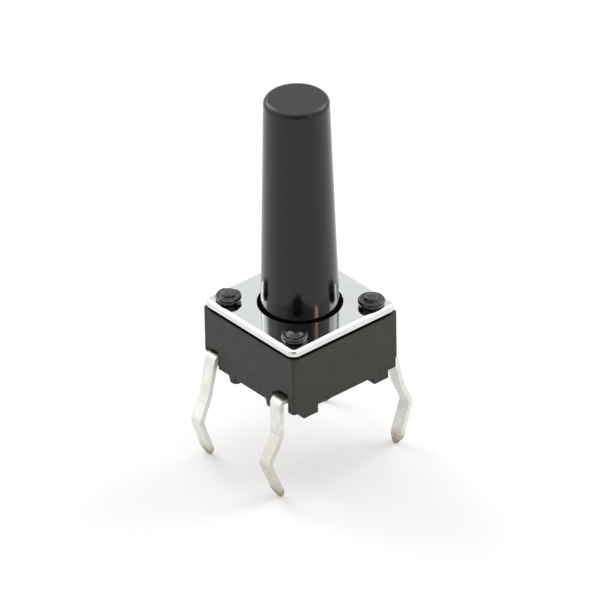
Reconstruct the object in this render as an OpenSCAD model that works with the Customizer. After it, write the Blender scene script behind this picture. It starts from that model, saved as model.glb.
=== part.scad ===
// Tactile push button switch, 6 mm square, with a long tapered stem and four board legs.
// Millimetres, +Z up. The origin is the centre of the footprint, on the plane that the
// feet stand on when the switch is pushed down onto a circuit board.

/* [Housing] */
// Width of the square body
body_w = 6; // [5.8:0.1:6.6]
// Height of the moulded housing, from its underside to the cover plate
housing_h = 2.88; // [2.7:0.02:3.4]
// Radius of the housing's upright corners
housing_corner_r = 0.12; // [0.05:0.01:0.2]
// Thickness of the housing's floor under the terminal strips
floor_under = 0.4; // [0.3:0.02:0.6]
// Thickness of the floor that covers the terminal strips
floor_skin = 0.1; // [0.06:0.01:0.2]

/* [Feet] */
// Height of the feet that stand the housing off the board
foot_h = 0.39; // [0.25:0.01:0.5]
// Width of the block feet on the two sides without legs
side_foot_w = 0.8; // [0.5:0.02:0.9]
// Distance from the centre to the middle of the block feet
side_foot_out = 2.02; // [1.6:0.02:2.2]
// How far the block feet reach in under the housing
side_foot_depth = 0.65; // [0.3:0.05:0.8]
// Diameter of the round feet on the two sides with legs, where they leave the housing
peg_root_d = 0.66; // [0.4:0.02:0.66]
// Diameter of the round feet at their ends
peg_end_d = 0.56; // [0.3:0.02:0.6]
// Distance from the centre to the middle of the round feet
peg_out = 1.23; // [0.9:0.01:1.23]

/* [Cover plate] */
// Thickness of the cover plate
cover_t = 0.32; // [0.25:0.01:0.4]
// Radius of the cover plate's corners, seen from above
cover_corner_r = 0.4; // [0.25:0.05:0.6]
// Radius of the rolled upper edge of the cover plate
cover_edge_r = 0.14; // [0.05:0.01:0.2]

/* [Rivets] */
// Distance from the housing's faces to the middle of each rivet
rivet_inset = 0.8; // [0.75:0.01:0.85]
// Diameter of the rivet posts
rivet_post_d = 0.7; // [0.5:0.02:0.8]
// Diameter of the squashed rivet heads
rivet_head_d = 1.18; // [1:0.02:1.24]
// Height of the rivet heads over the cover plate
rivet_head_h = 0.37; // [0.25:0.01:0.5]
// Gap between a rivet post and its hole in the cover plate
rivet_gap = 0.02; // [0.01:0.005:0.05]

/* [Stem] */
// Diameter of the stem where it comes out of the cover plate
stem_base_d = 3.44; // [3.2:0.02:3.5]
// Diameter of the stem at its top
stem_top_d = 2.88; // [2.4:0.02:3.2]
// Height of the stem over the cover plate
stem_h = 10.27; // [3:0.1:12]
// Radius of the stem's rounded top edge
stem_edge_r = 0.16; // [0.05:0.01:0.3]
// Gap between the stem and the hole in the cover plate
stem_gap = 0.15; // [0.1:0.01:0.2]
// How far the stem's flange reaches under the cover plate
flange_lip = 0.22; // [0.15:0.01:0.26]
// Thickness of the stem's flange
flange_t = 0.6; // [0.4:0.05:0.8]
// Gap between the flange and the wall of the pocket it slides in
flange_gap = 0.12; // [0.08:0.01:0.15]
// Gap between the flange and the cover plate at rest
rest_gap = 0.03; // [0.02:0.005:0.06]
// Diameter of the pusher under the flange
pusher_d = 1.5; // [1:0.1:2]
// Size of the chamfer round the pusher's nose
pusher_chamfer = 0.2; // [0.1:0.05:0.3]
// How far the button travels
travel = 0.25; // [0.15:0.01:0.3]

/* [Snap dome] */
// Thickness of the snap dome's sheet
dome_t = 0.06; // [0.04:0.005:0.08]
// Gap left between the snap dome and the middle contact when the button is pressed
pressed_gap = 0.01; // [0.005:0.005:0.03]
// Gap between the snap dome and the wall of the pocket
dome_gap = 0.08; // [0.05:0.01:0.12]
// Gap between the pusher and the snap dome at rest
pusher_gap = 0.02; // [0.01:0.005:0.04]

/* [Terminals] */
// Thickness of the terminal sheet
strip_t = 0.25; // [0.2:0.01:0.3]
// Width of the legs
leg_w = 0.65; // [0.5:0.01:0.7]
// Distance from the middle of the body to the first leg of a terminal
near_leg_y = 2.2; // [2.15:0.01:2.25]
// Distance from the middle of the body to the second leg of a terminal
far_leg_y = 2.4; // [2.3:0.01:2.5]
// How far the outer faces of the first legs stand out from the body, down to their knees
near_leg_out = 0.4; // [0.36:0.01:0.6]
// How far the outer faces of the second legs stand out where they leave the body
far_leg_out = 0.15; // [0.14:0.01:0.6]
// How far the knees of the second legs stand out from the body
far_knee_out = 0.62; // [0.4:0.02:0.8]
// How far the elbows of the legs stand out from the body
elbow_out = 1.1; // [0.9:0.02:1.3]
// How far the tips of the first legs stand out from the body
near_tip_out = 0.28; // [0.2:0.01:0.8]
// How far the tips of the second legs stand out from the body
far_tip_out = 0.42; // [0.2:0.01:0.8]
// Depth of the first legs' knees under the board plane
near_knee_drop = 0.8; // [0.5:0.02:1]
// Depth of the second legs' knees under the board plane
far_knee_drop = 1; // [0.5:0.02:1.1]
// Depth of the elbows under the board plane
elbow_drop = 2.05; // [1.6:0.05:2.4]
// Depth of the leg tips under the board plane
leg_drop = 4.06; // [3:0.02:4.5]
// Radius of the bend where a leg leaves the housing, at the middle of the sheet
bend_r = 0.2; // [0.16:0.01:0.24]
// Radius of the bends at the knees and elbows, at the middle of the sheet
kink_r = 0.35; // [0.15:0.01:0.5]
// Height of the pointed tips of the legs
point_h = 0.32; // [0.1:0.02:0.5]
// Width that is left at the ends of the leg tips
tip_w = 0.14; // [0.08:0.02:0.4]
// Length over which the leg tips are pressed thinner
coined_l = 0.45; // [0.2:0.05:0.6]
// Thickness that is left at the ends of the leg tips
tip_t = 0.14; // [0.08:0.01:0.25]
// Diameter of the middle contact
contact_d = 1.2; // [0.8:0.1:1.4]
// Height of the middle contact over the pocket's floor
contact_h = 0.04; // [0.02:0.01:0.05]
// Width of the tongue that carries the middle contact
tongue_w = 0.9; // [0.5:0.1:1.2]
// Width of the two pads under the rim of the snap dome
pad_w = 0.5; // [0.4:0.05:0.6]
// Length of those two pads
pad_l = 0.6; // [0.4:0.05:0.8]
// How far the carrier strips stop short of the notches
strip_end_gap = 0.15; // [0.1:0.01:0.3]

/* [Leg notches] */
// Gap between a leg and the inner wall of its notch
notch_gap = 0.3; // [0.1:0.01:0.35]
// Gap between a leg and the outer wall of its notch
notch_rim_gap = 0.1; // [0.05:0.01:0.15]
// Gap between a terminal strip and the roof of its notch
notch_roof_gap = 0.24; // [0.1:0.01:0.3]
// Depth of the notches at the first legs
near_notch_depth = 0.45; // [0.2:0.01:0.5]
// Depth of the notches at the second legs, which run out to the corners
far_notch_depth = 0.12; // [0.08:0.01:0.2]
// Gap between a second leg and the wall of its notch
far_notch_gap = 0.05; // [0.03:0.01:0.08]
// Height of the notch roof lost at the corner of the body
far_notch_slope = 0.35; // [0.2:0.01:0.4]

/* [Hidden] */
$fn = 48;

half_w = body_w / 2;
underside_z = foot_h;
housing_top_z = underside_z + housing_h;
cover_top_z = housing_top_z + cover_t;
stem_top_z = cover_top_z + stem_h;

strip_low_z = underside_z + floor_under;
strip_top_z = strip_low_z + strip_t;
pocket_floor_z = strip_top_z + floor_skin;

stem_hole_r = stem_base_d / 2 + stem_gap;
flange_r = stem_hole_r + flange_lip;
flange_top_z = housing_top_z - rest_gap;
flange_low_z = flange_top_z - flange_t;
pocket_r = flange_r + flange_gap;

dome_r = pocket_r - dome_gap;
dome_h = travel + pressed_gap + contact_h + dome_t;
dome_top_z = pocket_floor_z + dome_h;
pusher_low_z = dome_top_z + pusher_gap;

rivet_at = half_w - rivet_inset;
rivet_post_r = rivet_post_d / 2;
rivet_head_r = rivet_head_d / 2;

strip_mid_z = strip_low_z + strip_t / 2;

// The carrier strip inside the floor is as wide as both of its legs together.
strip_in_y = near_leg_y - leg_w / 2;
strip_out_y = far_leg_y + leg_w / 2;
strip_end_x = half_w - max(near_notch_depth, far_notch_depth) - strip_end_gap;
pad_x = dome_r - pad_w / 2;

// United shapes reach into each other by this much, and cuts reach past what they cut.
join = body_w / 60;
past = body_w / 6;

// ---- Points along round stretches ----

function unit(v) = v / norm(v);
function side_of(v) = [-v[1], v[0]];

// Points of an arc about a centre, from one angle to another.
function arc(centre, r, from, to, steps) =
  [for (i = [0:steps]) centre + r * [cos(from + (to - from) * i / steps),
                                     sin(from + (to - from) * i / steps)]];

// The points that round off the corner b of the path a, b, c.
function rounded_corner(a, b, c, r, steps = 8) =
  let (
    before = unit(b - a),
    after = unit(c - b),
    turn = acos(before * after),
    hand = sign(before[0] * after[1] - before[1] * after[0]),
    start = b - before * r * tan(turn / 2),
    centre = start + hand * r * side_of(before),
    first = start - centre,
    from = atan2(first[1], first[0])
  )
  arc(centre, r, from, from + hand * turn, steps);

// The direction of a path at its point i.
function heading(path, i) =
  unit(path[min(i + 1, len(path) - 1)] - path[max(i - 1, 0)]);

// The outline of a sheet that follows a path, with the sheet's thickness at each point.
function sheet_outline(path, t) = concat(
  [for (i = [0:len(path) - 1]) path[i] + side_of(heading(path, i)) * t[i] / 2],
  [for (i = [len(path) - 1:-1:0]) path[i] - side_of(heading(path, i)) * t[i] / 2]
);

// ---- Housing ----

module rounded_square(w, r) {
  square([w, w - 2 * r], center = true);
  square([w - 2 * r, w], center = true);
  for (x = [-1, 1], y = [-1, 1])
    translate([x * (w / 2 - r), y * (w / 2 - r)]) circle(r);
}

module at_rivets() {
  for (x = [-1, 1], y = [-1, 1])
    translate([x * rivet_at, y * rivet_at, 0]) children();
}

// A moulded post whose end has been melted down into a head over the cover plate.
module rivet() {
  h = rivet_head_h;
  r = rivet_head_r;
  translate([0, 0, housing_top_z - join]) cylinder(r = rivet_post_r, h = cover_t + 2 * join);
  translate([0, 0, cover_top_z]) rotate_extrude() polygon([
    [0, 0],
    [r * 0.86, 0],
    [r, h * 0.2],
    [r, h * 0.36],
    [r * 0.9, h * 0.56],
    [r * 0.72, h * 0.7],
    [r * 0.56, h * 0.62],
    [r * 0.48, h * 0.8],
    [r * 0.3, h * 0.95],
    [0, h]
  ]);
}

// Four block feet stand flush with the sides without legs, four round ones at the others.
module feet() {
  for (x = [-1, 1], y = [-1, 1]) {
    translate([x * side_foot_out, y * (half_w - side_foot_depth / 2), (foot_h + join) / 2])
      cube([side_foot_w, side_foot_depth, foot_h + join], center = true);
    translate([x * (half_w - peg_root_d / 2), y * peg_out, 0])
      cylinder(d1 = peg_end_d, d2 = peg_root_d, h = foot_h);
    translate([x * (half_w - peg_root_d / 2), y * peg_out, foot_h])
      cylinder(d = peg_root_d, h = join);
  }
}

// Cuts a notch of the given outline (y, z) into the face at +X.
module face_notch(depth, outline) {
  translate([half_w - depth, 0, 0])
    rotate([90, 0, 90]) linear_extrude(depth + past) polygon(outline);
}

// The two notches in the +X face: the near leg's at +Y and the far leg's at -Y.
module leg_notches() {
  roof_z = strip_top_z + notch_roof_gap;
  near_in = near_leg_y - leg_w / 2 - notch_gap;
  near_out = near_leg_y + leg_w / 2 + notch_rim_gap;
  far_in = far_leg_y - leg_w / 2 - far_notch_gap;
  far_out = far_leg_y + leg_w / 2;
  face_notch(near_notch_depth, [
    [near_in, -foot_h],
    [near_out, -foot_h],
    [near_out, roof_z],
    [near_leg_y - leg_w / 4, roof_z],
    [near_in, roof_z - notch_gap]
  ]);
  face_notch(far_notch_depth, [
    [-far_in, -foot_h],
    [-far_in, roof_z],
    [-far_out, roof_z],
    [-half_w, roof_z - far_notch_slope],
    [-half_w - past, roof_z - far_notch_slope],
    [-half_w - past, -foot_h]
  ]);
}

module housing() {
  color("#484845") difference() {
    union() {
      translate([0, 0, underside_z]) linear_extrude(housing_h) rounded_square(body_w, housing_corner_r);
      feet();
      at_rivets() rivet();
    }
    translate([0, 0, pocket_floor_z]) cylinder(r = pocket_r, h = housing_h);
    leg_notches();
    rotate([0, 0, 180]) leg_notches();
    contact_terminal_solid();
    ring_terminal_solid();
  }
}

// ---- Cover plate ----

// The plate's rim from the side, from the middle of a corner's round out to its edge.
module rim_profile() {
  inner_r = cover_corner_r - cover_edge_r;
  polygon(concat(
    [[0, 0], [cover_corner_r, 0]],
    arc([inner_r, cover_t - cover_edge_r], cover_edge_r, 0, 90, 6),
    [[0, cover_t]]
  ));
}

// The plate before its holes are punched: a flat middle, four straight rims and four corners.
module cover_blank() {
  at = half_w - cover_corner_r;
  translate([-at, -at, 0]) cube([2 * at, 2 * at, cover_t]);
  for (turn = [0:90:270]) rotate([0, 0, turn]) translate([at, at, 0]) {
    rotate_extrude(angle = 90) rim_profile();
    rotate([90, 0, 0]) linear_extrude(2 * at) rim_profile();
  }
}

module cover_plate() {
  color("#d7dad7") difference() {
    translate([0, 0, housing_top_z]) cover_blank();
    translate([0, 0, housing_top_z - past]) cylinder(r = stem_hole_r, h = cover_t + 2 * past);
    at_rivets() translate([0, 0, housing_top_z - past])
      cylinder(r = rivet_post_r + rivet_gap, h = cover_t + 2 * past);
  }
}

// ---- Stem ----

// The stem tapers over the cover plate and is straight below it.
module stem() {
  base_r = stem_base_d / 2;
  top_r = stem_top_d / 2;
  color("#33332f") rotate_extrude() polygon(concat(
    [
      [0, pusher_low_z],
      [pusher_d / 2 - pusher_chamfer, pusher_low_z],
      [pusher_d / 2, pusher_low_z + pusher_chamfer],
      [pusher_d / 2, flange_low_z],
      [flange_r, flange_low_z],
      [flange_r, flange_top_z],
      [base_r, flange_top_z],
      [base_r, cover_top_z]
    ],
    arc([top_r - stem_edge_r, stem_top_z - stem_edge_r], stem_edge_r, 0, 90, 6),
    [[0, stem_top_z]]
  ));
}

// ---- Snap dome ----

// A shallow cap of two spheres with one centre. Its rim stands on the pocket's floor.
module snap_dome() {
  outer_r = (dome_r * dome_r + dome_h * dome_h) / (2 * dome_h);
  color("#c8c8c4") intersection() {
    translate([0, 0, dome_top_z - outer_r]) difference() {
      sphere(outer_r);
      sphere(outer_r - dome_t);
    }
    translate([0, 0, pocket_floor_z]) cylinder(r = pocket_r, h = 2 * dome_h);
  }
}

// ---- Terminals ----

// Where the middle of a leg's sheet lies when its outer face stands this far out of the body.
function sheet_x(out) = half_w + out - strip_t / 2;

// The side view of one leg, from inside the floor, over the bend and down past its tip.
// It stands out differently at its top, its knee and its tip.
function leg_path(top_out, knee_out, knee_drop, tip_out) =
  let (
    root = [strip_end_x - join, strip_mid_z],
    corner = [sheet_x(top_out), strip_mid_z],
    knee = [sheet_x(knee_out), -knee_drop],
    elbow = [sheet_x(elbow_out), -elbow_drop],
    tip = [sheet_x(tip_out), -leg_drop],
    down = unit(tip - elbow)
  )
  concat(
    [root],
    rounded_corner(root, corner, knee, bend_r),
    rounded_corner(corner, knee, elbow, kink_r, 5),
    rounded_corner(knee, elbow, tip, kink_r, 5),
    [tip - down * coined_l, tip, tip + down * join]
  );

// The front view of a leg, cut off flat at the end of its pointed tip.
module leg_front() {
  polygon([
    [-tip_w / 2, -leg_drop],
    [tip_w / 2, -leg_drop],
    [leg_w / 2, point_h - leg_drop],
    [leg_w / 2, strip_top_z + past],
    [-leg_w / 2, strip_top_z + past],
    [-leg_w / 2, point_h - leg_drop]
  ]);
}

// One leg at +X with the given side view, its width centred on y.
module leg(y, path) {
  coined = len(path) - 2;
  thickness = [for (i = [0:len(path) - 1]) i < coined ? strip_t : tip_t];
  translate([0, y, 0]) intersection() {
    rotate([90, 0, 0]) linear_extrude(leg_w, center = true) polygon(sheet_outline(path, thickness));
    rotate([90, 0, 90]) linear_extrude(half_w + elbow_out + past) leg_front();
  }
}

// A terminal's carrier strip at -Y, with the near leg at -X and the far leg at +X.
module terminal_frame() {
  translate([-strip_end_x, -strip_out_y, strip_low_z])
    cube([2 * strip_end_x, strip_out_y - strip_in_y, strip_t]);
  leg(-far_leg_y, leg_path(far_leg_out, far_knee_out, far_knee_drop, far_tip_out));
  mirror([1, 0, 0])
    leg(-near_leg_y, leg_path(near_leg_out, near_leg_out, near_knee_drop, near_tip_out));
}

// The terminal that carries the middle contact under the dome.
module contact_terminal_solid() {
  terminal_frame();
  translate([-tongue_w / 2, -strip_in_y - join, strip_low_z])
    cube([tongue_w, strip_in_y + join, strip_t]);
  translate([0, 0, strip_low_z])
    cylinder(d = contact_d, h = strip_t + floor_skin + contact_h);
}

// The terminal that the rim of the dome stands on.
module ring_terminal_solid() {
  rotate([0, 0, 180]) terminal_frame();
  for (x = [-1, 1]) translate([x * pad_x - pad_w / 2, -pad_l / 2, strip_low_z]) {
    cube([pad_w, pad_l / 2 + strip_in_y + join, strip_t]);
    cube([pad_w, pad_l, strip_t + floor_skin]);
  }
}

module contact_terminal() {
  color("#e0e0d8") contact_terminal_solid();
}

module ring_terminal() {
  color("#e0e0d8") ring_terminal_solid();
}

housing();
cover_plate();
stem();
snap_dome();
contact_terminal();
ring_terminal();
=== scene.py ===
"""A tactile push button switch: mouldings, steel cover, tinned terminals, snap dome and long stem.

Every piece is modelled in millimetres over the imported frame, and brought to metres when finished.
"""

import math

import bmesh
import bpy
from bpy.props import FloatProperty, FloatVectorProperty, PointerProperty
from bpy.types import Operator, Panel, PropertyGroup
from mathutils import Matrix, Vector


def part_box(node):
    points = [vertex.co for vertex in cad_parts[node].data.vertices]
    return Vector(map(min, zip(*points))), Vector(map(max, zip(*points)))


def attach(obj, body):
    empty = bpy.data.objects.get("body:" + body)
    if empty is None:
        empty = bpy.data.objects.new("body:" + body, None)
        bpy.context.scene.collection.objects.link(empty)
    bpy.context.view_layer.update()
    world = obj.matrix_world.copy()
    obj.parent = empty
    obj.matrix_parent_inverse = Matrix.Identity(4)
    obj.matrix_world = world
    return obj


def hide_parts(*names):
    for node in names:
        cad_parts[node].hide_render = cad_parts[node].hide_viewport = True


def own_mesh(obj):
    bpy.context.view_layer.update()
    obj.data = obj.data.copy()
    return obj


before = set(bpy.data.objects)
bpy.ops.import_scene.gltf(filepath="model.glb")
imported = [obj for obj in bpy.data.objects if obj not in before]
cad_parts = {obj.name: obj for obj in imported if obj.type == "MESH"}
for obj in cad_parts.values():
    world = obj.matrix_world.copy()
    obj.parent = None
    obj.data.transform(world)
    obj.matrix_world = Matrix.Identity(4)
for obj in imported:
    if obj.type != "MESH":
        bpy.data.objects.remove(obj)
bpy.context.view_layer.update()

bl_info = {
    "name": "Tactile push button switch",
    "version": (1, 0, 0),
    "blender": (4, 5, 0),
    "location": "3D View > Sidebar > Push Button",
    "description": "Builds a 6 mm tactile switch with a long tapered stem",
    "category": "Add Mesh",
}

cover_low, cover_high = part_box("cover_plate")
stem_low, stem_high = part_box("stem")
dome_low, dome_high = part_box("snap_dome")
contact_low, contact_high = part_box("contact_terminal")

PER_METRE = 1000  # millimetres in a metre
SHARP = math.radians(35)  # steeper edges stay sharp when a piece is smoothed

# In millimetres:
SAME = 0.001  # lengths that differ by less count as equal
WELD = 0.0005  # points that are closer are merged
OVERLAP = 0.1  # how far united pieces reach into each other
REACH = 1  # how far a cut reaches past the piece

# Sides of round pieces:
PEG_SIDES = 32
SMALL_SIDES = 48
WIDE_SIDES = 96
STEM_SIDES = 128


# ---- Settings ----


def length(name, default, description):
    """A size that a user may change, in metres. Heights are over the board."""
    return FloatProperty(
        name=name, description=description, default=default, unit="LENGTH", precision=5
    )


def share(name, default, description):
    """A number from 0 to 1."""
    return FloatProperty(
        name=name, description=description, default=default, min=0.0, max=1.0, subtype="FACTOR"
    )


def colour(name, default, description):
    """A linear colour."""
    return FloatVectorProperty(
        name=name, description=description, default=default, size=3, min=0.0, max=1.0,
        subtype="COLOR",
    )


class HousingSizes(PropertyGroup):
    width: length("Width", cover_high.x - cover_low.x, "Width of the square body")
    underside: length("Underside", 0.00039, "Height of the housing's underside")
    top: length("Top", cover_low.z, "Height of the housing's upper face")
    corner: length("Corner radius", 0.00014, "Radius of the upright corners")
    groove: length("Groove", 0.00011, "Height of the shadow groove under the cover plate")
    groove_depth: length("Groove depth", 0.0002, "Depth of that groove")
    edge: length("Edge radius", 0.00003, "Radius of the housing's other outer edges")
    pocket_radius: length("Pocket radius", 0.00221, "Radius of the pocket that the dome lies in")
    pocket_floor: length("Pocket floor", dome_low.z, "Height of the pocket's floor")
    block_foot_width: length("Block foot width", 0.0008, "Width of the four block feet")
    block_foot_depth: length("Block foot depth", 0.00065, "How far the block feet reach inwards")
    block_foot_out: length("Block foot place", 0.00202, "How far out these feet are")
    peg_root: length("Round foot root", 0.00066, "Diameter of the round feet at the housing")
    peg_end: length("Round foot end", 0.00056, "Diameter of the round feet at their ends")
    peg_out: length("Round foot place", 0.00123, "How far out these feet are")
    notch_inner: length("Notch inner gap", 0.0003, "Gap between a leg and its notch's inner wall")
    notch_outer: length("Notch outer gap", 0.0001, "Gap between a leg and its notch's outer wall")
    notch_roof: length("Notch roof", 0.00128, "Height of the roof of the leg notches")
    near_notch: length("First notch depth", 0.00045, "Depth of the notches at the first legs")
    far_notch: length("Second notch depth", 0.00015, "Depth of the notches at the second legs")
    far_gap: length("Second notch gap", 0.00005, "Gap between a second leg and its notch")
    far_slope: length("Second notch slope", 0.00042, "Height of the roof lost at the corner")


class RivetSizes(PropertyGroup):
    out: length("Place", 0.0022, "How far out the rivets are")
    post_radius: length("Post radius", 0.00035, "Radius of the moulded posts")
    head_radius: length("Head radius", 0.00061, "Radius of the melted heads")
    head_height: length("Head height", 0.00045, "Height of the heads over the cover plate")
    melt: length("Unevenness", 0.00007, "How uneven the melted heads are")
    lean: length("Lean", 0.00009, "How far a head melted to one side is from its post, each way")


class CoverSizes(PropertyGroup):
    low: length("Underside", cover_low.z, "Height of the plate's underside")
    high: length("Top", cover_high.z, "Height of the plate's upper face")
    corner: length("Corner radius", 0.0004, "Radius of the plate's corners, from above")
    rolled_edge: length("Rolled edge", 0.0002, "Radius of the plate's upper edge")
    lower_edge: length("Lower edge", 0.00005, "Radius of the plate's lower edge")
    hole_radius: length("Hole radius", 0.00187, "Radius of the hole for the stem")
    hole_edge: length("Hole edge", 0.00003, "Radius of the edge of that hole")
    rivet_gap: length("Rivet gap", 0.00002, "Gap between a rivet post and its hole")


class StemSizes(PropertyGroup):
    low: length("Low end", stem_low.z, "Height of the pusher's nose")
    high: length("Top", stem_high.z, "Height of the stem's top")
    base_radius: length("Base radius", 0.00172, "Radius where the stem leaves the cover")
    top_radius: length("Top radius", 0.00144, "Radius of the stem at its top")
    top_edge: length("Top edge", 0.00028, "Radius of the stem's upper edge")
    flange_radius: length("Flange radius", stem_high.x, "Radius of the flange under the cover")
    flange_low: length("Flange underside", 0.00264, "Height of the flange's lower face")
    flange_high: length("Flange top", 0.00324, "Height of the flange's upper face")
    pusher_radius: length("Pusher radius", 0.00075, "Radius of the pusher under the flange")
    pusher_chamfer: length("Pusher chamfer", 0.0002, "Size of the chamfer round its nose")


class DomeSizes(PropertyGroup):
    radius: length("Radius", dome_high.x, "Radius of the dome's rim")
    low: length("Rim height", dome_low.z, "Height that the rim stands at")
    high: length("Top", dome_high.z, "Height of the dome's top")
    sheet: length("Sheet", 0.00006, "Thickness of the spring sheet")
    pressed: share("Pressed height", 0.306, "Share of its height that it keeps when pressed")


class TerminalSizes(PropertyGroup):
    sheet: length("Sheet", 0.00025, "Thickness of the terminal sheet")
    strip_low: length("Strip height", 0.00079, "Height of the strips' lower faces")
    strip_end: length("Strip end", 0.0024, "How far out the strips end")
    leg_width: length("Leg width", 0.00065, "Width of the legs")
    near_leg: length("First leg", 0.0022, "How far along Y the first legs are")
    far_leg: length("Second leg", 0.0024, "How far along Y the second legs are")
    near_top: length("First leg place", 0.003275, "How far out the first legs start")
    near_tip: length("First tip place", 0.003155, "How far out their tips are")
    near_knee: length("First knee depth", 0.0008, "Depth of the first legs' knees")
    far_top: length("Second leg place", 0.003025, "How far out the second legs start")
    far_out: length("Second knee place", 0.003495, "How far out their knees are")
    far_tip: length("Second tip place", 0.003295, "How far out their tips are")
    far_knee: length("Second knee depth", 0.001, "Depth of the second legs' knees")
    elbow_out: length("Elbow place", 0.003975, "How far out the elbows are")
    elbow_drop: length("Elbow depth", 0.00205, "Depth of the elbows under the board plane")
    tip_drop: length("Tip depth", -contact_low.z, "Depth of the tips under the board plane")
    bend: length("Bend radius", 0.0002, "Radius of the bend at the housing")
    kink: length("Kink radius", 0.00035, "Radius of the bends at knees and elbows")
    edge: length("Sheared edge", 0.00003, "Radius of the sheet's edges")
    point: length("Point", 0.00032, "Height of the pointed tips")
    tip_width: length("Tip width", 0.00014, "Width that is left at the end of a tip")
    coined: length("Coined length", 0.00045, "Length over which a tip is pressed thinner")
    tip_sheet: length("Tip sheet", 0.00014, "Thickness that is left at the end of a tip")
    contact_radius: length("Contact radius", 0.0006, "Radius of the middle contact")
    contact_high: length("Contact top", contact_high.z, "Height of the middle contact's top")
    tongue_width: length("Tongue width", 0.0009, "Width of the tongue under that contact")
    pad_out: length("Pad place", 0.00188, "How far out the dome's pads are")
    pad_width: length("Pad width", 0.0005, "Width of the dome's pads")
    pad_length: length("Pad length", 0.0006, "Length of the dome's pads")


class SwitchColours(PropertyGroup):
    housing: colour("Housing", (0.034, 0.0345, 0.029), "Colour of the moulded housing")
    rivets: colour("Rivet heads", (0.006, 0.007, 0.0065), "Colour of the melted rivet heads")
    stem: colour("Stem", (0.005, 0.005, 0.004), "Colour of the moulded stem")
    cover: colour("Cover plate", (0.70, 0.73, 0.70), "Colour of the bright steel cover")
    tin: colour("Tin", (0.83, 0.83, 0.79), "Colour of the tinned terminals")
    bare: colour("Bare metal", (0.30, 0.22, 0.14), "Colour of the cut metal at the tips")
    dome: colour("Snap dome", (0.62, 0.62, 0.60), "Colour of the spring steel dome")


class StudioSettings(PropertyGroup):
    azimuth: FloatProperty(
        name="Azimuth", description="Direction that the camera looks from",
        default=math.radians(-40.178), subtype="ANGLE",
    )
    elevation: FloatProperty(
        name="Elevation", description="Angle of the camera above the horizon",
        default=math.radians(32.564), subtype="ANGLE",
    )
    roll: FloatProperty(
        name="Roll", description="Turn of the camera about its own axis",
        default=math.radians(-1.035), subtype="ANGLE",
    )
    distance: length("Distance", 0.35133, "Distance of the camera from the point it looks at")
    target: length("Target height", 0.003626, "Height of that point over the board plane")
    lens: FloatProperty(
        name="Lens", description="Focal length of the camera", default=485.96,
        subtype="DISTANCE_CAMERA",
    )
    floor: share("Floor tone", 0.68, "How much of the lamps' light the floor gives back")
    floor_glow: share("Floor glow", 0.34, "Light that the camera sees added to the floor")
    ambient: share("Ambient", 0.24, "Strength of the light from all round")
    dark_side: share("Dark side", 0.42, "What bright pieces mirror of the room behind the camera")


def group(kind, name, description):
    """A group of settings."""
    return PointerProperty(type=kind, name=name, description=description)


class PushButtonSettings(PropertyGroup):
    housing: group(HousingSizes, "Housing", "Sizes of the housing")
    rivets: group(RivetSizes, "Rivets", "Sizes of the rivets")
    cover: group(CoverSizes, "Cover", "Sizes of the cover plate")
    stem: group(StemSizes, "Stem", "Sizes of the stem")
    dome: group(DomeSizes, "Snap dome", "Sizes of the dome")
    terminals: group(TerminalSizes, "Terminals", "Sizes of the terminals")
    colours: group(SwitchColours, "Colours", "Colours of all the pieces")
    studio: group(StudioSettings, "Studio", "Camera and light")


class Millimetres:
    """Reads a group of lengths in millimetres."""

    def __init__(self, group):
        self.group = group

    def __getattr__(self, name):
        return getattr(self.group, name) * PER_METRE


# ---- Modelling ----


def close():
    """Leaves edit mode."""
    bpy.ops.object.mode_set(mode="OBJECT")


def clear_selection():
    """Leaves edit mode and selects nothing."""
    if bpy.context.object and bpy.context.object.mode != "OBJECT":
        close()
    bpy.ops.object.select_all(action="DESELECT")


def only(piece):
    """Makes the piece the one that is selected and active."""
    clear_selection()
    piece.select_set(True)
    bpy.context.view_layer.objects.active = piece


def edit(piece):
    """Opens the piece in edit mode, with nothing selected."""
    only(piece)
    bpy.ops.object.mode_set(mode="EDIT")
    bpy.ops.mesh.select_mode(type="FACE")
    bpy.ops.mesh.select_all(action="DESELECT")


def pick_all():
    """Selects everything in the open piece."""
    bpy.ops.mesh.select_all(action="SELECT")


def pick_faces(test):
    """Selects the faces whose middle and direction pass the test."""
    bpy.ops.mesh.select_mode(type="FACE")
    bpy.ops.mesh.select_all(action="DESELECT")
    mesh = bmesh.from_edit_mesh(bpy.context.edit_object.data)
    for face in mesh.faces:
        if test(face.calc_center_median(), face.normal):
            face.select_set(True)
    bmesh.update_edit_mesh(bpy.context.edit_object.data)


def pick_edges(test):
    """Selects the edges whose two ends pass the test."""
    bpy.ops.mesh.select_mode(type="EDGE")
    bpy.ops.mesh.select_all(action="DESELECT")
    mesh = bmesh.from_edit_mesh(bpy.context.edit_object.data)
    for edge in mesh.edges:
        if test(edge.verts[0].co, edge.verts[1].co):
            edge.select_set(True)
    bmesh.update_edit_mesh(bpy.context.edit_object.data)


def pick_level(z, radius=None):
    """Selects the level edges at a height, or only those on a ring of that radius."""
    pick_edges(
        lambda a, b: near(a.z, z) and near(b.z, z)
        and (radius is None or near(a.xy.length, radius) and near(b.xy.length, radius))
    )


def near(a, b):
    """Whether two lengths are equal."""
    return abs(a - b) < SAME


def bevel(offset, segments):
    """Rounds off the selected edges."""
    bpy.ops.mesh.bevel(offset=offset, segments=segments, affect="EDGES", clamp_overlap=True)


def extrude(step):
    """Draws the selected faces out by a step."""
    bpy.ops.mesh.extrude_region_move(TRANSFORM_OT_translate={"value": step})


def divide(point, normal, **settings):
    """Cuts all of the open piece along a plane."""
    pick_all()
    bpy.ops.mesh.bisect(plane_co=point, plane_no=normal, **settings)


def trim(point, normal):
    """Cuts the open piece off at a plane and closes it there."""
    divide(point, normal, use_fill=True, clear_outer=True)


def face_outwards():
    """Turns all faces of the open piece outwards."""
    pick_all()
    bpy.ops.mesh.normals_make_consistent(inside=False)


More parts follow.
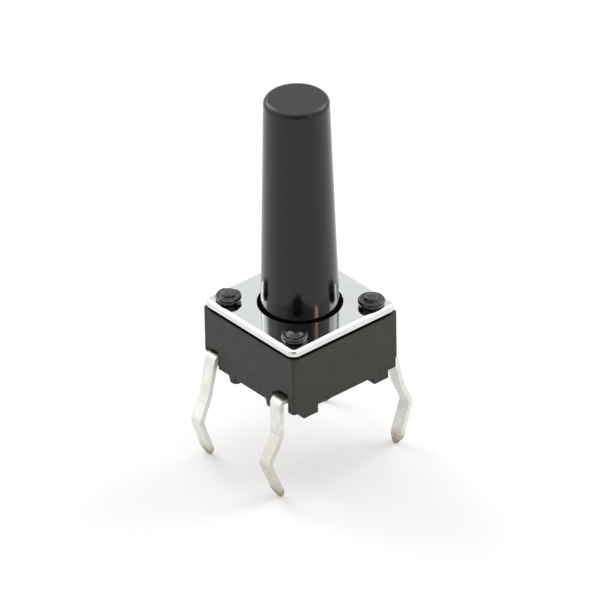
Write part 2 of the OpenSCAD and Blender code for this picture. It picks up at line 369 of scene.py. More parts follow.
def block(name, low, high):
    """A box between two corners, with its place in its mesh."""
    clear_selection()
    low, high = Vector(low), Vector(high)
    bpy.ops.mesh.primitive_cube_add(size=1, location=(low + high) / 2)
    piece = bpy.context.object
    piece.name = name
    piece.scale = high - low
    bpy.ops.object.transform_apply(location=True, rotation=True, scale=True)
    return piece


def turned(name, profile, sides, at=(0, 0)):
    """A closed round piece: a disc extruded ring by ring along a profile of radii and heights."""
    clear_selection()
    radius, z = profile[0]
    bpy.ops.mesh.primitive_circle_add(
        vertices=sides, radius=radius, fill_type="NGON", location=(*at, z)
    )
    piece = bpy.context.object
    piece.name = name
    bpy.ops.object.transform_apply(location=True, rotation=True, scale=True)
    edit(piece)
    pick_all()
    for next_radius, next_z in profile[1:]:
        extrude((0, 0, next_z - z))
        if next_radius != radius:
            ratio = next_radius / radius
            bpy.ops.transform.resize(value=(ratio, ratio, 1), center_override=(*at, next_z))
        radius, z = next_radius, next_z
    face_outwards()
    close()
    return piece


def half_turn_all():
    """Turns what is selected half round the middle of the switch."""
    bpy.ops.transform.rotate(value=math.pi, orient_axis="Z", center_override=(0, 0, 0))


def twin(piece, name, move=(0, 0, 0), half_turn=False):
    """A copy with its own mesh, moved and then turned half round the middle of the switch."""
    only(piece)
    bpy.ops.object.duplicate(linked=False)
    copy = bpy.context.object
    copy.name = name
    edit(copy)
    pick_all()
    bpy.ops.transform.translate(value=move)
    if half_turn:
        half_turn_all()
    close()
    return copy


def modify(piece, kind, **settings):
    """Adds a modifier to the piece and applies it."""
    only(piece)
    bpy.ops.object.modifier_add(type=kind)
    modifier = piece.modifiers[-1]
    for name, value in settings.items():
        setattr(modifier, name, value)
    bpy.ops.object.modifier_apply(modifier=modifier.name)


def soften(piece, radius, segments, degrees):
    """Rounds off every edge that is steeper than so many degrees."""
    modify(
        piece, "BEVEL", width=radius, segments=segments, limit_method="ANGLE",
        angle_limit=math.radians(degrees), use_clamp_overlap=True,
    )


def combine(piece, other, how):
    """Unites the piece with another closed one, or cuts the other out of it."""
    modify(piece, "BOOLEAN", operation=how, solver="EXACT", object=other)
    bpy.data.objects.remove(other)


def punch(piece, radius, low, high, sides, at=(0, 0)):
    """Cuts a round hole through the piece."""
    cutter = turned("punch", [(radius, low - REACH), (radius, high + REACH)], sides, at)
    combine(piece, cutter, "DIFFERENCE")


def weld(piece):
    """Merges points that bevels and cuts leave in one place, and closes hairline holes."""
    edit(piece)
    pick_all()
    bpy.ops.mesh.remove_doubles(threshold=WELD)
    bpy.ops.mesh.dissolve_degenerate(threshold=WELD)
    bpy.ops.mesh.fill_holes(sides=8)
    close()


def finish_piece(piece, material, body, slot, *nodes):
    """Smooths the piece, brings it to metres, and gives it its finish and place in the frame."""
    weld(piece)
    bpy.ops.object.shade_smooth_by_angle(angle=SHARP, keep_sharp_edges=True)
    modify(piece, "WEIGHTED_NORMAL", mode="FACE_AREA", weight=100, keep_sharp=True)
    piece.scale = (1 / PER_METRE,) * 3
    bpy.ops.object.transform_apply(location=False, rotation=False, scale=True)
    piece.data.materials.clear()
    piece.data.materials.append(material)
    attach(piece, body)
    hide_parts(*nodes)


# ---- Finishes ----


def add_node(tree, kind, **settings):
    """A new node with these settings."""
    node = tree.nodes.new(kind)
    for name, value in settings.items():
        setattr(node, name, value)
    return node


def set_range(node, *limits):
    """Sets the limits that a map range node reads and gives."""
    for name, value in zip(("From Min", "From Max", "To Min", "To Max"), limits):
        node.inputs[name].default_value = value


class Finish:
    """A material in the making. Its patterns are laid out in millimetres on the piece itself."""

    def __init__(self, name):
        self.material = bpy.data.materials.new(name)
        self.material.use_nodes = True
        self.tree = self.material.node_tree
        self.shader = self.tree.nodes["Principled BSDF"]
        place = self.add("ShaderNodeTexCoord")
        scale = self.add("ShaderNodeMapping")
        scale.inputs["Scale"].default_value = (PER_METRE,) * 3
        self.join(place.outputs["Object"], scale.inputs["Vector"])
        self.place = scale.outputs["Vector"]

    def add(self, kind, **settings):
        """A new node in this material."""
        return add_node(self.tree, kind, **settings)

    def join(self, output, socket):
        """Links an output to a socket."""
        self.tree.links.new(output, socket)

    def set(self, **values):
        """Sets constants on the shader's own sockets."""
        for name, value in values.items():
            self.shader.inputs[name].default_value = value

    def noise(self, scale, detail=3, roughness=0.6, stretch=None, seed=0.0):
        """Noise with so many lumps in a millimetre, stretched along the axes if need be."""
        node = self.add("ShaderNodeTexNoise")
        node.inputs["Scale"].default_value = scale
        node.inputs["Detail"].default_value = detail
        node.inputs["Roughness"].default_value = roughness
        place = self.place
        if stretch or seed:
            mapping = self.add("ShaderNodeMapping")
            mapping.inputs["Location"].default_value = (seed, seed, seed)
            mapping.inputs["Scale"].default_value = stretch or (1, 1, 1)
            self.join(place, mapping.inputs["Vector"])
            place = mapping.outputs["Vector"]
        self.join(place, node.inputs["Vector"])
        return node.outputs["Fac"]

    def along(self, axis):
        """Where each point is along an axis, in millimetres. Z is its height over the board."""
        split = self.add("ShaderNodeSeparateXYZ")
        self.join(self.place, split.inputs["Vector"])
        return split.outputs[axis]

    def span(self, value, low, high, to_low=0.0, to_high=1.0):
        """Spreads a value between two limits over new ones, and holds it there."""
        node = self.add("ShaderNodeMapRange", clamp=True)
        set_range(node, low, high, to_low, to_high)
        self.join(value, node.inputs["Value"])
        return node.outputs["Result"]

    def math(self, how, a, b):
        """The result for two values, each a number or an output."""
        node = self.add("ShaderNodeMath", operation=how, use_clamp=False)
        for socket, value in zip(node.inputs, (a, b)):
            if isinstance(value, (int, float)):
                socket.default_value = value
            else:
                self.join(value, socket)
        return node.outputs["Value"]

    def times(self, a, b):
        """The product of two values."""
        return self.math("MULTIPLY", a, b)

    def mix(self, share, first, second):
        """A colour between two colours."""
        node = self.add("ShaderNodeMix", data_type="RGBA")
        self.join(share, node.inputs["Factor"])
        for socket, value in ((node.inputs[6], first), (node.inputs[7], second)):
            if hasattr(value, "__len__"):
                socket.default_value = (*value, 1)
            else:
                self.join(value, socket)
        return node.outputs[2]

    def clouded(self, pattern, colour, dark, light, low=0.3, high=0.7):
        """The colour made darker or lighter by factors, as the pattern goes."""
        spread = self.span(pattern, low, high)
        return self.mix(spread, tone(colour, dark), tone(colour, light))

    def bump(self, height, depth, strength, below=None):
        """Raises the surface by so many millimetres where the height is 1."""
        node = self.add("ShaderNodeBump")
        node.inputs["Distance"].default_value = depth / PER_METRE
        node.inputs["Strength"].default_value = strength
        self.join(height, node.inputs["Height"])
        if below is not None:
            self.join(below, node.inputs["Normal"])
        return node.outputs["Normal"]

    def wear(self, colour, roughness, normal):
        """Joins the patterns to the shader, and gives the finished material."""
        for value, name in ((colour, "Base Color"), (roughness, "Roughness"), (normal, "Normal")):
            self.join(value, self.shader.inputs[name])
        return self.material


def tone(colour, factor):
    """The colour made lighter or darker by a factor."""
    return tuple(min(1.0, c * factor) for c in colour)


def housing_finish(colour, ledge):
    """Matte black plastic: pale specks, dark scuffs along its foot, and painted shade with less
    sheen on the ledge in the groove under the cover plate.
    """
    f = Finish("moulded_black_plastic")
    f.set(IOR=1.46)
    mottle = f.noise(1.3, 4, 0.6)
    base = f.clouded(mottle, colour, 0.86, 1.16)
    specks = f.span(f.noise(14, 2, 0.5, seed=7), 0.68, 0.76)
    base = f.mix(f.times(specks, 0.5), base, tone(colour, 2.2))
    low = f.span(f.along("Z"), 0.95, 0.55)
    scuffs = f.span(f.noise(5, stretch=(1, 0.6, 2), seed=13), 0.56, 0.62)
    base = f.mix(f.times(f.times(low, scuffs), 0.8), base, tone(colour, 0.15))
    across, along = f.math("ABSOLUTE", f.along("X"), 0), f.math("ABSOLUTE", f.along("Y"), 0)
    corner = f.math("ADD", across, along)
    # Painted shade: the ledge in the groove under the cover plate is made near black, less so near
    # the corners, and loses most of its sheen.
    painted_groove_shade = f.span(f.along("Z"), ledge - 0.045, ledge - 0.012)
    painted_groove_shade = f.times(painted_groove_shade, f.span(corner, 5.2, 5.8, 1, 0.15))
    base = f.mix(painted_groove_shade, base, tone(colour, 0.2))
    f.join(f.span(painted_groove_shade, 0, 1, 0.5, 0.14), f.shader.inputs["Specular IOR Level"])
    rough = f.span(f.noise(5, seed=3), 0.3, 0.7, 0.48, 0.64)
    grain = f.bump(f.noise(22), 0.006, 0.6)
    grain = f.bump(f.noise(1.1, 2, 0.5, seed=11), 0.03, 0.25, grain)
    return f.wear(base, rough, grain)


def rivet_finish(colour):
    """The same plastic once melted: darker, glossier and rippled."""
    f = Finish("melted_black_plastic")
    f.set(IOR=1.48)
    base = f.clouded(f.noise(4), colour, 0.7, 1.5, 0.35, 0.65)
    rough = f.span(f.noise(6, seed=5), 0.3, 0.7, 0.14, 0.4)
    ripple = f.bump(f.noise(7, 3, 0.55), 0.03, 0.7)
    return f.wear(base, rough, ripple)


def stem_finish(colour):
    """Smooth black plastic with a soft sheen, faint draw marks, a duller top and a dull flange."""
    f = Finish("satin_black_plastic")
    f.set(IOR=1.48)
    under = f.span(f.along("Z"), 3.34, 3.28)
    f.join(f.span(under, 0, 1, 0.43, 0.04), f.shader.inputs["Specular IOR Level"])
    mottle = f.noise(0.9, 4, 0.6, stretch=(1, 1, 0.35))
    base = f.clouded(mottle, colour, 0.82, 1.2)
    dust = f.span(f.noise(11, 2, 0.5, seed=2), 0.7, 0.78)
    base = f.mix(f.times(dust, 0.35), base, tone(colour, 3))
    top = f.span(f.along("Z"), 13.6, 13.86)
    rough = f.span(f.noise(3, 4, 0.6, stretch=(1, 1, 0.2), seed=4), 0.3, 0.7, 0.1, 0.18)
    rough = f.math("ADD", rough, f.times(top, 0.19))
    rough = f.math("ADD", rough, f.times(under, 0.5))
    draw = f.bump(f.noise(6, 2, 0.5, stretch=(1, 1, 0.05)), 0.004, 0.5)
    grain = f.bump(f.noise(18, 2, 0.5), 0.003, 0.5, draw)
    return f.wear(base, rough, grain)


def cover_finish(colour):
    """Bright rolled steel, almost a mirror, with faint rolling lines and a slight wave."""
    f = Finish("bright_steel")
    f.set(Metallic=1.0)
    base = f.clouded(f.noise(0.8, 3, 0.5), colour, 0.97, 1.03)
    lines = f.noise(9, stretch=(0.06, 1, 1), seed=9)
    rough = f.span(lines, 0.3, 0.7, 0.035, 0.075)
    rolled = f.bump(lines, 0.0006, 0.5)
    wave = f.bump(f.noise(0.6, 1, 0.5, seed=4), 0.004, 0.3, rolled)
    return f.wear(base, rough, wave)


def tin_finish(colour, bare):
    """Matte tin: clouded, with painted shade where it leaves the housing, dulled on one leg and
    worn bare at the tips.
    """
    f = Finish("matte_tin")
    f.set(Metallic=1.0)
    base = f.clouded(f.noise(2.4, 4, 0.6), colour, 0.9, 1.06)
    # The front leg is made darker and warmer below its knee.
    left, front = f.span(f.along("X"), -3.0, -3.1), f.span(f.along("Y"), -1.0, -1.2)
    darker_front_leg = f.times(f.times(left, front), f.span(f.along("Z"), -0.4, -1.1))
    base = f.mix(f.times(darker_front_leg, 0.22), base, bare)
    low = f.span(f.along("Z"), -2.9, -3.9)
    patch = f.span(f.math("ADD", low, f.noise(5, seed=8)), 0.85, 1.6)
    base = f.mix(f.times(patch, 0.85), base, bare)
    # Painted shade: the strips and bends at the housing's notches are made near black, as the
    # notches' shadow.
    root = f.span(f.along("Z"), 0.97, 1.035)
    base = f.mix(f.times(root, 0.93), base, tone(bare, 0.1))
    rough = f.span(f.noise(7, seed=6), 0.3, 0.7, 0.58, 0.76)
    frost = f.bump(f.noise(20), 0.003, 0.6)
    dents = f.bump(f.noise(1.7, 2, 0.5, seed=1), 0.05, 0.5, frost)
    return f.wear(base, rough, dents)


def dome_finish(colour):
    """Spring steel, finely brushed one way."""
    f = Finish("spring_steel")
    f.set(Metallic=1.0)
    lines = f.noise(12, stretch=(0.05, 1, 1))
    base = f.clouded(lines, colour, 0.92, 1.05)
    rough = f.span(lines, 0.3, 0.7, 0.18, 0.3)
    return f.wear(base, rough, f.bump(lines, 0.001, 0.5))


# ---- Pieces ----


def bend_at(before, corner, after, radius):
    """Where a rounded corner of a side view starts, its centre, its angle and its hand."""
    way_in = (corner - before).normalized()
    way_out = (after - corner).normalized()
    angle = way_in.angle(way_out)
    hand = 1 if way_in.x * way_out.y - way_in.y * way_out.x > 0 else -1
    start = corner - way_in * radius * math.tan(angle / 2)
    centre = start + Vector((-way_in.y, way_in.x)) * radius * hand
    return start, centre, angle, hand


def leg(sizes, top_out, knee_out, knee_drop, tip_out):
    """One leg at +X in the middle of the width: bent down, kinked out and in, and pointed."""
    half_width, half_sheet = sizes.leg_width / 2, sizes.sheet / 2
    mid_z = sizes.strip_low + half_sheet
    corners = [
        Vector((sizes.strip_end - OVERLAP, mid_z)),
        Vector((top_out, mid_z)),
        Vector((knee_out, -knee_drop)),
        Vector((sizes.elbow_out, -sizes.elbow_drop)),
        Vector((tip_out, -sizes.tip_drop)),
    ]
    at = bend_at(*corners[:3], sizes.bend)[0]
    piece = block(
        "leg", (corners[0].x, -half_width, mid_z - half_sheet),
        (at.x, half_width, mid_z + half_sheet),
    )
    edit(piece)
    pick_faces(lambda middle, normal: normal.x > 0.9)
    for i, radius, steps in ((1, sizes.bend, 8), (2, sizes.kink, 6), (3, sizes.kink, 8)):
        start, centre, angle, hand = bend_at(*corners[i - 1:i + 2], radius)
        run = start - at
        if run.length > SAME:
            extrude((run.x, 0, run.y))
        bpy.ops.mesh.spin(
            steps=steps, angle=angle, center=(centre.x, 0, centre.y), axis=(0, hand, 0)
        )
        way_out = (corners[i + 1] - corners[i]).normalized()
        at = centre + Vector((way_out.y, -way_out.x)) * radius * hand
    tip = corners[-1]
    down = (tip - at).normalized()
    point = sizes.point / -down.y
    slimming = 1 - sizes.tip_sheet / sizes.sheet
    thin = 1.0
    past = 0.15  # the point is drawn past the tip, and cut off level
    least = 0.02  # share of the width that is left there at least
    narrowing = (1 - sizes.tip_width / sizes.leg_width) * (1 + past / point)
    for left in (max(sizes.coined, point), point, -past):
        end = tip - down * left
        extrude((end.x - at.x, 0, end.y - at.y))
        at = end
        sheet = 1 - slimming * (1 - max(left, 0) / sizes.coined)
        width = 1.0 if left > 0 else max(1 - narrowing, least)
        bpy.ops.transform.resize(
            value=(sheet / thin, width, sheet / thin), center_override=(at.x, 0, at.y)
        )
        thin = sheet
    trim((0, 0, -sizes.tip_drop), (0, 0, -1))
    face_outwards()
    soften(piece, sizes.edge, 3, 50)
    return piece


def terminal(name, sizes, first_leg, second_leg, half_turn):
    """A carrier strip at -Y with its first leg at -X and its second at +X, or all half turned."""
    inner = sizes.near_leg - sizes.leg_width / 2
    outer = sizes.far_leg + sizes.leg_width / 2
    top = sizes.strip_low + sizes.sheet
    end = sizes.strip_end
    piece = block(name, (-end, -outer, sizes.strip_low), (end, -inner, top))
    combine(piece, twin(second_leg, "leg", (0, -sizes.far_leg, 0)), "UNION")
    combine(piece, twin(first_leg, "leg", (0, sizes.near_leg, 0), half_turn=True), "UNION")
    if half_turn:
        edit(piece)
        pick_all()
        half_turn_all()
        close()
    return piece


class PUSHBUTTON_OT_terminals(Operator):
    """Models both tinned terminals, with their strips, contacts and pointed legs"""

    bl_idname = "push_button.terminals"
    bl_label = "Add terminals"

    def execute(self, context):
        settings = context.scene.push_button
        sizes = Millimetres(settings.terminals)
        inner = sizes.near_leg - sizes.leg_width / 2
        top = sizes.strip_low + sizes.sheet
        first_leg = leg(sizes, sizes.near_top, sizes.near_top, sizes.near_knee, sizes.near_tip)
        second_leg = leg(sizes, sizes.far_top, sizes.far_out, sizes.far_knee, sizes.far_tip)

        contact = terminal("contact_leads", sizes, first_leg, second_leg, half_turn=False)
        half = sizes.tongue_width / 2
        tongue = block("tongue", (-half, -inner - OVERLAP, sizes.strip_low), (half, 0, top))
        combine(contact, tongue, "UNION")
        edge = 0.02
        button = turned("button", [
            (sizes.contact_radius, sizes.strip_low),
            (sizes.contact_radius, sizes.contact_high - edge),
            (sizes.contact_radius - edge, sizes.contact_high),
        ], SMALL_SIDES)
        combine(contact, button, "UNION")

        ring = terminal("ring_leads", sizes, first_leg, second_leg, half_turn=True)
        half = sizes.pad_length / 2
        floor = Millimetres(settings.housing).pocket_floor
        for middle in (-sizes.pad_out, sizes.pad_out):
            low_x, high_x = middle - sizes.pad_width / 2, middle + sizes.pad_width / 2
            arm = block("arm", (low_x, -half, sizes.strip_low), (high_x, inner + OVERLAP, top))
            combine(ring, arm, "UNION")
            pad = block("pad", (low_x, -half, sizes.strip_low), (high_x, half, floor))
            combine(ring, pad, "UNION")
        for spare in (first_leg, second_leg):
            bpy.data.objects.remove(spare)

        tin = tin_finish(settings.colours.tin, settings.colours.bare)
        finish_piece(contact, tin, "body", "terminal_tin", "contact_terminal")
        finish_piece(ring, tin, "body", "terminal_tin", "ring_terminal")
        return {"FINISHED"}


def notch_cutters(sizes, legs):
    """The two notches in the +X face: the first leg's at +Y and the second leg's at -Y."""
    half = sizes.width / 2
    low, roof, out = -0.4, sizes.notch_roof, half + REACH
    inner = legs.near_leg - legs.leg_width / 2 - sizes.notch_inner
    outer = legs.near_leg + legs.leg_width / 2 + sizes.notch_outer
    near_cut = block("notch", (half - sizes.near_notch, inner, low), (out, outer, roof))
    drop = sizes.notch_inner
    shoulder = legs.near_leg - legs.leg_width / 4
    edit(near_cut)
    trim((0, shoulder, roof), (0, -drop, shoulder - inner))
    edge = legs.far_leg - legs.leg_width / 2 - sizes.far_gap
    far_cut = block("notch", (half - sizes.far_notch, -half - REACH, low), (out, -edge, roof))
    start = legs.far_leg + legs.leg_width / 2
    edit(far_cut)
    trim((0, -start, roof), (0, -sizes.far_slope, half - start))
    close()
    return near_cut, far_cut


# A melted head's outline, a ring with a round button, in shares of its radius and height.
HEAD_OUTLINE = (
    (0.83, 0.0), (0.9, 0.12), (0.97, 0.28), (1.0, 0.45), (0.98, 0.56), (0.92, 0.65),
    (0.82, 0.7), (0.72, 0.69), (0.63, 0.64), (0.57, 0.66), (0.54, 0.76), (0.5, 0.86),
    (0.42, 0.94), (0.28, 0.98), (0.16, 0.995), (0.06, 1.0),
)
# Each head's side along X and Y, its share of the unevenness, its softness and its lean.
HEADS = ((-1, -1, 1, 14, 0), (1, -1, 0.5, 0, 1), (-1, 1, 2.4, 5, 1), (1, 1, 1, 2, 0))


def rivet(sizes, low, plate):
    """A moulded post whose end is melted down over the plate."""
    r, h = sizes.head_radius, sizes.head_height
    profile = [(sizes.post_radius, low), (sizes.post_radius, plate)]
    profile += [(r * share, plate + h * rise) for share, rise in HEAD_OUTLINE]
    return turned("rivet", profile, SMALL_SIDES)


def melt(piece, amount, softness, lean, plate):
    """Moves a rivet head to one side, softens it and makes it lumpy, but not its post."""
    edit(piece)
    post_end = plate + 0.02
    pick_faces(lambda middle, normal: middle.z > post_end)
    bpy.ops.transform.translate(value=(-lean, -lean, 0))
    bpy.ops.object.vertex_group_assign_new()
    close()
    head = piece.vertex_groups[-1].name
    modify(piece, "SMOOTH", factor=0.5, iterations=softness, vertex_group=head)
    lumps = bpy.data.textures.new("lumps", "CLOUDS")
    lumps.noise_scale = 0.42
    lumps.noise_depth = 2
    modify(
        piece, "DISPLACE", texture=lumps, texture_coords="GLOBAL", strength=amount,
        mid_level=0.62, vertex_group=head,
    )
    piece.vertex_groups.clear()


class PUSHBUTTON_OT_housing(Operator):
    """Models the moulded housing, with its pocket, feet, leg notches and melted rivets"""

    bl_idname = "push_button.housing"
    bl_label = "Add housing"

    def execute(self, context):
        settings = context.scene.push_button
        sizes, rivets = Millimetres(settings.housing), Millimetres(settings.rivets)
        cover, legs = Millimetres(settings.cover), Millimetres(settings.terminals)
        half = sizes.width / 2
        shoulder = sizes.top - sizes.groove
        piece = block("moulded_housing", (-half, -half, sizes.underside), (half, half, shoulder))

        edit(piece)
        foot, width = sizes.block_foot_out, sizes.block_foot_width / 2
        for side in (-1, 1):
            for cut in (side * foot - width, side * foot + width):
                divide((cut, 0, 0), (1, 0, 0))
            divide((0, side * (half - sizes.block_foot_depth), 0), (0, 1, 0))
        pick_faces(
            lambda middle, normal: normal.z < -0.9
            and near(abs(middle.x), foot)
            and abs(middle.y) > half - sizes.block_foot_depth
        )
        extrude((0, 0, -sizes.underside))
        pick_edges(
            lambda a, b: near(abs(a.x), half) and near(abs(a.y), half)
            and near(a.x, b.x) and near(a.y, b.y)
        )
        bevel(sizes.corner, 6)
        pick_faces(lambda middle, normal: normal.z > 0.9)
        bpy.ops.mesh.dissolve_faces()
        close()
        inset = half - sizes.groove_depth
        neck = block("neck", (-inset, -inset, shoulder - OVERLAP), (inset, inset, sizes.top))
        combine(piece, neck, "UNION")

        root, end, chamfer = sizes.peg_root / 2, sizes.peg_end / 2, 0.03
        peg = turned("peg", [
            (end - chamfer, 0), (end, chamfer), (root, sizes.underside),
            (root, sizes.underside + OVERLAP),
        ], PEG_SIDES, at=(half - root, 0))
        for half_turn in (False, True):
            for out in (-sizes.peg_out, sizes.peg_out):
                combine(piece, twin(peg, "peg", (0, out, 0), half_turn), "UNION")
        bpy.data.objects.remove(peg)

        for cutter in notch_cutters(sizes, legs):
            combine(piece, twin(cutter, "notch", half_turn=True), "DIFFERENCE")
            combine(piece, cutter, "DIFFERENCE")
        soften(piece, sizes.edge, 2, 60)
        weld(piece)
        r, floor = sizes.pocket_radius, sizes.pocket_floor
        pocket = turned("pocket", [(r, floor), (r, sizes.top + REACH)], WIDE_SIDES)
        combine(piece, pocket, "DIFFERENCE")
        for name in ("contact_leads", "ring_leads"):
            lead = twin(bpy.data.objects[name], "lead")
            lead.parent = None
            lead.scale = (PER_METRE,) * 3
            combine(piece, lead, "DIFFERENCE")

        plain = rivet(rivets, sizes.top - OVERLAP, cover.high)
        for x, y, share, softness, lean in HEADS:
            head = twin(plain, "rivet", (x * rivets.out, y * rivets.out, 0))
            melt(head, rivets.melt * share, softness, rivets.lean * lean, cover.high)
            combine(piece, head, "UNION")
        bpy.data.objects.remove(plain)

        plastic = housing_finish(settings.colours.housing, shoulder)
        finish_piece(piece, plastic, "body", "housing_plastic", "housing")
        piece.data.materials.append(rivet_finish(settings.colours.rivets))
        plate = (cover.high - SAME) / PER_METRE
        edit(piece)
        pick_faces(lambda middle, normal: middle.z > plate)
        piece.active_material_index = 1
        bpy.ops.object.material_slot_assign()
        close()
        return {"FINISHED"}


class PUSHBUTTON_OT_cover(Operator):
    """Models the bright steel cover plate, with its rolled edge and punched holes"""

    bl_idname = "push_button.cover"
    bl_label = "Add cover plate"

    def execute(self, context):
        settings = context.scene.push_button
        sizes, rivets = Millimetres(settings.cover), Millimetres(settings.rivets)
        half = Millimetres(settings.housing).width / 2
        piece = block("steel_cover", (-half, -half, sizes.low), (half, half, sizes.high))
        edit(piece)
        pick_edges(lambda a, b: near(a.x, b.x) and near(a.y, b.y))
        bevel(sizes.corner, 12)
        pick_level(sizes.high)
        bevel(sizes.rolled_edge, 6)
        pick_level(sizes.low)
        bevel(sizes.lower_edge, 3)
        close()

        r = sizes.hole_radius
        punch(piece, r, sizes.low, sizes.high, STEM_SIDES)
        edit(piece)
        pick_level(sizes.high, r)
        bevel(sizes.hole_edge, 4)
        close()
        r = rivets.post_radius + sizes.rivet_gap
        for x in (-rivets.out, rivets.out):
            for y in (-rivets.out, rivets.out):
                punch(piece, r, sizes.low, sizes.high, SMALL_SIDES, (x, y))

        finish_piece(
            piece, cover_finish(settings.colours.cover), "body", "cover_metal", "cover_plate"
        )
        return {"FINISHED"}


class PUSHBUTTON_OT_dome(Operator):
    """Models the thin snap dome in its raised shape; the real dome goes flat under the pusher"""

    bl_idname = "push_button.dome"
    bl_label = "Add snap dome"

    def execute(self, context):
        settings = context.scene.push_button
        sizes = Millimetres(settings.dome)
        rise = sizes.high - sizes.low
        outer = (sizes.radius ** 2 + rise ** 2) / (2 * rise)
        centre = sizes.high - outer
        inner = outer - sizes.sheet
        rim = math.sqrt(inner ** 2 - (sizes.low - centre) ** 2)
        steps = 12
        profile = []
        for i in range(1, steps + 1):
            r = rim * i / steps
            profile.append((r, centre + math.sqrt(inner ** 2 - r ** 2)))
        for i in range(steps, 0, -1):
            r = sizes.radius * i / steps
            profile.append((r, centre + math.sqrt(outer ** 2 - r ** 2)))
        piece = turned("spring_dome", profile, WIDE_SIDES)
        finish_piece(piece, dome_finish(settings.colours.dome), "body", "dome_steel", "snap_dome")
        settings.dome.low
        settings.dome.pressed
        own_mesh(piece)
        return {"FINISHED"}


class PUSHBUTTON_OT_stem(Operator):
    """Models the tapered stem with its flange and pusher"""

    bl_idname = "push_button.stem"
    bl_label = "Add stem"

    def execute(self, context):
        settings = context.scene.push_button
        sizes = Millimetres(settings.stem)
        plate = Millimetres(settings.cover).high
        piece = turned("tapered_stem", [
            (sizes.pusher_radius - sizes.pusher_chamfer, sizes.low),
            (sizes.pusher_radius, sizes.low + sizes.pusher_chamfer),
            (sizes.pusher_radius, sizes.flange_low),
            (sizes.flange_radius, sizes.flange_low),
            (sizes.flange_radius, sizes.flange_high),
            (sizes.base_radius, sizes.flange_high),
            (sizes.base_radius, plate),
            (sizes.top_radius, sizes.high - sizes.top_edge),
            (sizes.top_radius, sizes.high),
        ], STEM_SIDES)
        edit(piece)
        top_edge = sizes.top_edge * 0.98  # it stays clear of the ring where the taper ends
        flange_edge = 0.05
        for radius, z, size, steps in (
            (sizes.top_radius, sizes.high, top_edge, 8),
            (sizes.flange_radius, sizes.flange_low, flange_edge, 3),
            (sizes.flange_radius, sizes.flange_high, flange_edge, 3),
        ):
            pick_level(z, radius)
            bevel(size, steps)
        close()
        finish_piece(piece, stem_finish(settings.colours.stem), "stem", "stem_plastic", "stem")
        return {"FINISHED"}


# ---- Studio ----

# Each lamp's name, place and size in metres, power in watts and tint.
LAMPS = (
    ("back_left_softbox", (-0.027, 0.323, 0.235), 0.24, 0.66, (1, 1, 1)),
    ("back_right_softbox", (0.315, -0.074, 0.235), 0.24, 0.64, (1, 1, 1)),
    ("left_softbox", (-0.245, 0.246, 0.2), 0.28, 0.1, (1, 1, 1)),
    ("right_softbox", (0.265, -0.224, 0.2), 0.28, 0.045, (0.8, 1, 0.9)),
    ("overhead_softbox", (0.03, 0.04, 0.3), 0.4, 0.6, (1, 1, 1)),
    ("warm_lamp", (0.041, -0.292, 0.188), 0.04, 0.07, (1, 0.5, 0.36)),
)
FLOOR_SIZE = 3
WHITE = (1, 1, 1, 1)
# The dark side of the room, in cosines of the angle from the camera: its outer and inner edge.
DARK_SIDE = math.cos(math.radians(45)), math.cos(math.radians(20))


def area_lamp(name, place, size, power, tint):
    """A square soft lamp that faces the switch."""
    clear_selection()
    bpy.ops.object.light_add(type="AREA", location=place)
    lamp = bpy.context.object
    lamp.name = name
    lamp.rotation_euler = (-Vector(place)).to_track_quat("-Z", "Y").to_euler()
    lamp.data.size = size
    lamp.data.energy = power
    lamp.data.color = tint


def camera_share(tree):
    """1 for what the camera, a mirror or glass sees straight away, and 0 for other light."""
    link = tree.links.new
    path = add_node(tree, "ShaderNodeLightPath")
    share = path.outputs["Is Camera Ray"]
    for name in ("Is Glossy Ray", "Is Transmission Ray"):
        most = add_node(tree, "ShaderNodeMath", operation="MAXIMUM")
        link(share, most.inputs[0])
        link(path.outputs[name], most.inputs[1])
        share = most.outputs["Value"]
    return share


def add_camera(settings, back):
    """Adds the camera, on the line that leads back from the switch to it."""
    target = Vector((0, 0, settings.target))
    bpy.ops.object.camera_add(location=target + back * settings.distance)
    camera = bpy.context.object
    turn = (-back).to_track_quat("-Z", "Y").to_matrix().to_4x4()
    camera.rotation_euler = (turn @ Matrix.Rotation(settings.roll, 4, "Z")).to_euler()
    camera.data.lens = settings.lens
    camera.data.clip_start = 0.01
    camera.data.clip_end = 10
    bpy.context.scene.camera = camera


def floor_finish(settings):
    """Pale paper that looks lighter than the light it gives back."""
    material = bpy.data.materials.new("pale_floor")
    material.use_nodes = True
    tree = material.node_tree
    link = tree.links.new
    tree.nodes.clear()
    paper = add_node(tree, "ShaderNodeBsdfDiffuse")
    paper.inputs["Color"].default_value = (settings.floor,) * 3 + (1,)
    glow = add_node(tree, "ShaderNodeEmission")
    glow.inputs["Color"].default_value = WHITE
    scaled = add_node(tree, "ShaderNodeMath", operation="MULTIPLY")
    scaled.inputs[1].default_value = settings.floor_glow
    link(camera_share(tree), scaled.inputs[0])
    link(scaled.outputs["Value"], glow.inputs["Strength"])
    both = add_node(tree, "ShaderNodeAddShader")
    link(paper.outputs["BSDF"], both.inputs[0])
    link(glow.outputs["Emission"], both.inputs[1])
    output = add_node(tree, "ShaderNodeOutputMaterial")
    link(both.outputs["Shader"], output.inputs["Surface"])
    return material


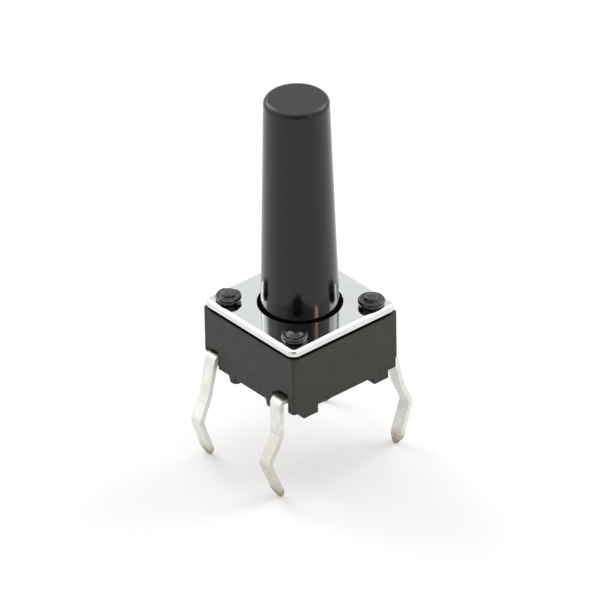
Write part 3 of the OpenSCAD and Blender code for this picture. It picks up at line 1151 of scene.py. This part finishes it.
def add_world(settings, back):
    """White to the camera, dim as a light, and darker in mirrors on the camera's side."""
    world = bpy.data.worlds.new("studio_world")
    bpy.context.scene.world = world
    world.use_nodes = True
    tree = world.node_tree
    link = tree.links.new
    sky = tree.nodes["Background"]
    sky.inputs["Color"].default_value = WHITE
    toward = add_node(tree, "ShaderNodeVectorMath", operation="DOT_PRODUCT")
    toward.inputs[1].default_value = back
    around = add_node(tree, "ShaderNodeTexCoord")
    link(around.outputs["Generated"], toward.inputs[0])
    room = add_node(tree, "ShaderNodeMapRange", interpolation_type="SMOOTHSTEP")
    set_range(room, *DARK_SIDE, 1.0, settings.dark_side)
    link(toward.outputs["Value"], room.inputs["Value"])
    path = add_node(tree, "ShaderNodeLightPath")
    seen = add_node(tree, "ShaderNodeMath", operation="MAXIMUM")
    link(room.outputs["Result"], seen.inputs[0])
    link(path.outputs["Is Camera Ray"], seen.inputs[1])
    span = add_node(tree, "ShaderNodeMapRange")
    span.inputs["To Min"].default_value = settings.ambient
    link(seen.outputs["Value"], span.inputs["To Max"])
    link(camera_share(tree), span.inputs["Value"])
    link(span.outputs["Result"], sky.inputs["Strength"])


class PUSHBUTTON_OT_studio(Operator):
    """Sets up the camera, the pale floor and the soft light"""

    bl_idname = "push_button.studio"
    bl_label = "Add studio"

    def execute(self, context):
        settings = context.scene.push_button.studio
        drop = context.scene.push_button.terminals.tip_drop
        a, e = settings.azimuth, settings.elevation
        back = Vector((math.sin(a) * math.cos(e), -math.cos(a) * math.cos(e), math.sin(e)))
        clear_selection()
        add_camera(settings, back)

        bpy.ops.mesh.primitive_plane_add(size=FLOOR_SIZE, location=(0, 0, -drop))
        floor = context.object
        floor.name = "studio_floor"
        bpy.ops.object.transform_apply(location=True, rotation=True, scale=True)
        floor.data.materials.append(floor_finish(settings))

        add_world(settings, back)
        for lamp in LAMPS:
            area_lamp(*lamp)
        context.scene.view_settings.view_transform = "Standard"
        return {"FINISHED"}


class PUSHBUTTON_PT_builder(Panel):
    """Lists the steps that build the switch, with their settings"""

    bl_idname = "PUSHBUTTON_PT_builder"
    bl_label = "Tactile push button"
    bl_space_type = "VIEW_3D"
    bl_region_type = "UI"
    bl_category = "Push Button"

    def draw(self, context):
        settings = context.scene.push_button
        for name in settings.__annotations__:
            box = self.layout.box()
            box.label(text=name.capitalize())
            for entry in getattr(settings, name).__annotations__:
                box.prop(getattr(settings, name), entry)
        for step in STEPS:
            self.layout.operator(step.bl_idname)


STEPS = (
    PUSHBUTTON_OT_terminals,
    PUSHBUTTON_OT_housing,
    PUSHBUTTON_OT_cover,
    PUSHBUTTON_OT_dome,
    PUSHBUTTON_OT_stem,
    PUSHBUTTON_OT_studio,
)
CLASSES = (
    HousingSizes, RivetSizes, CoverSizes, StemSizes, DomeSizes, TerminalSizes, SwitchColours,
    StudioSettings, PushButtonSettings, *STEPS, PUSHBUTTON_PT_builder,
)


def register():
    for cls in CLASSES:
        bpy.utils.register_class(cls)
    bpy.types.Scene.push_button = PointerProperty(type=PushButtonSettings)


def unregister():
    del bpy.types.Scene.push_button
    for cls in reversed(CLASSES):
        bpy.utils.unregister_class(cls)


def main():
    """Builds the switch and its studio."""
    register()
    bpy.ops.push_button.terminals()
    bpy.ops.push_button.housing()
    bpy.ops.push_button.cover()
    bpy.ops.push_button.dome()
    bpy.ops.push_button.stem()
    bpy.ops.push_button.studio()
    clear_selection()


if __name__ == "__main__":
    main()
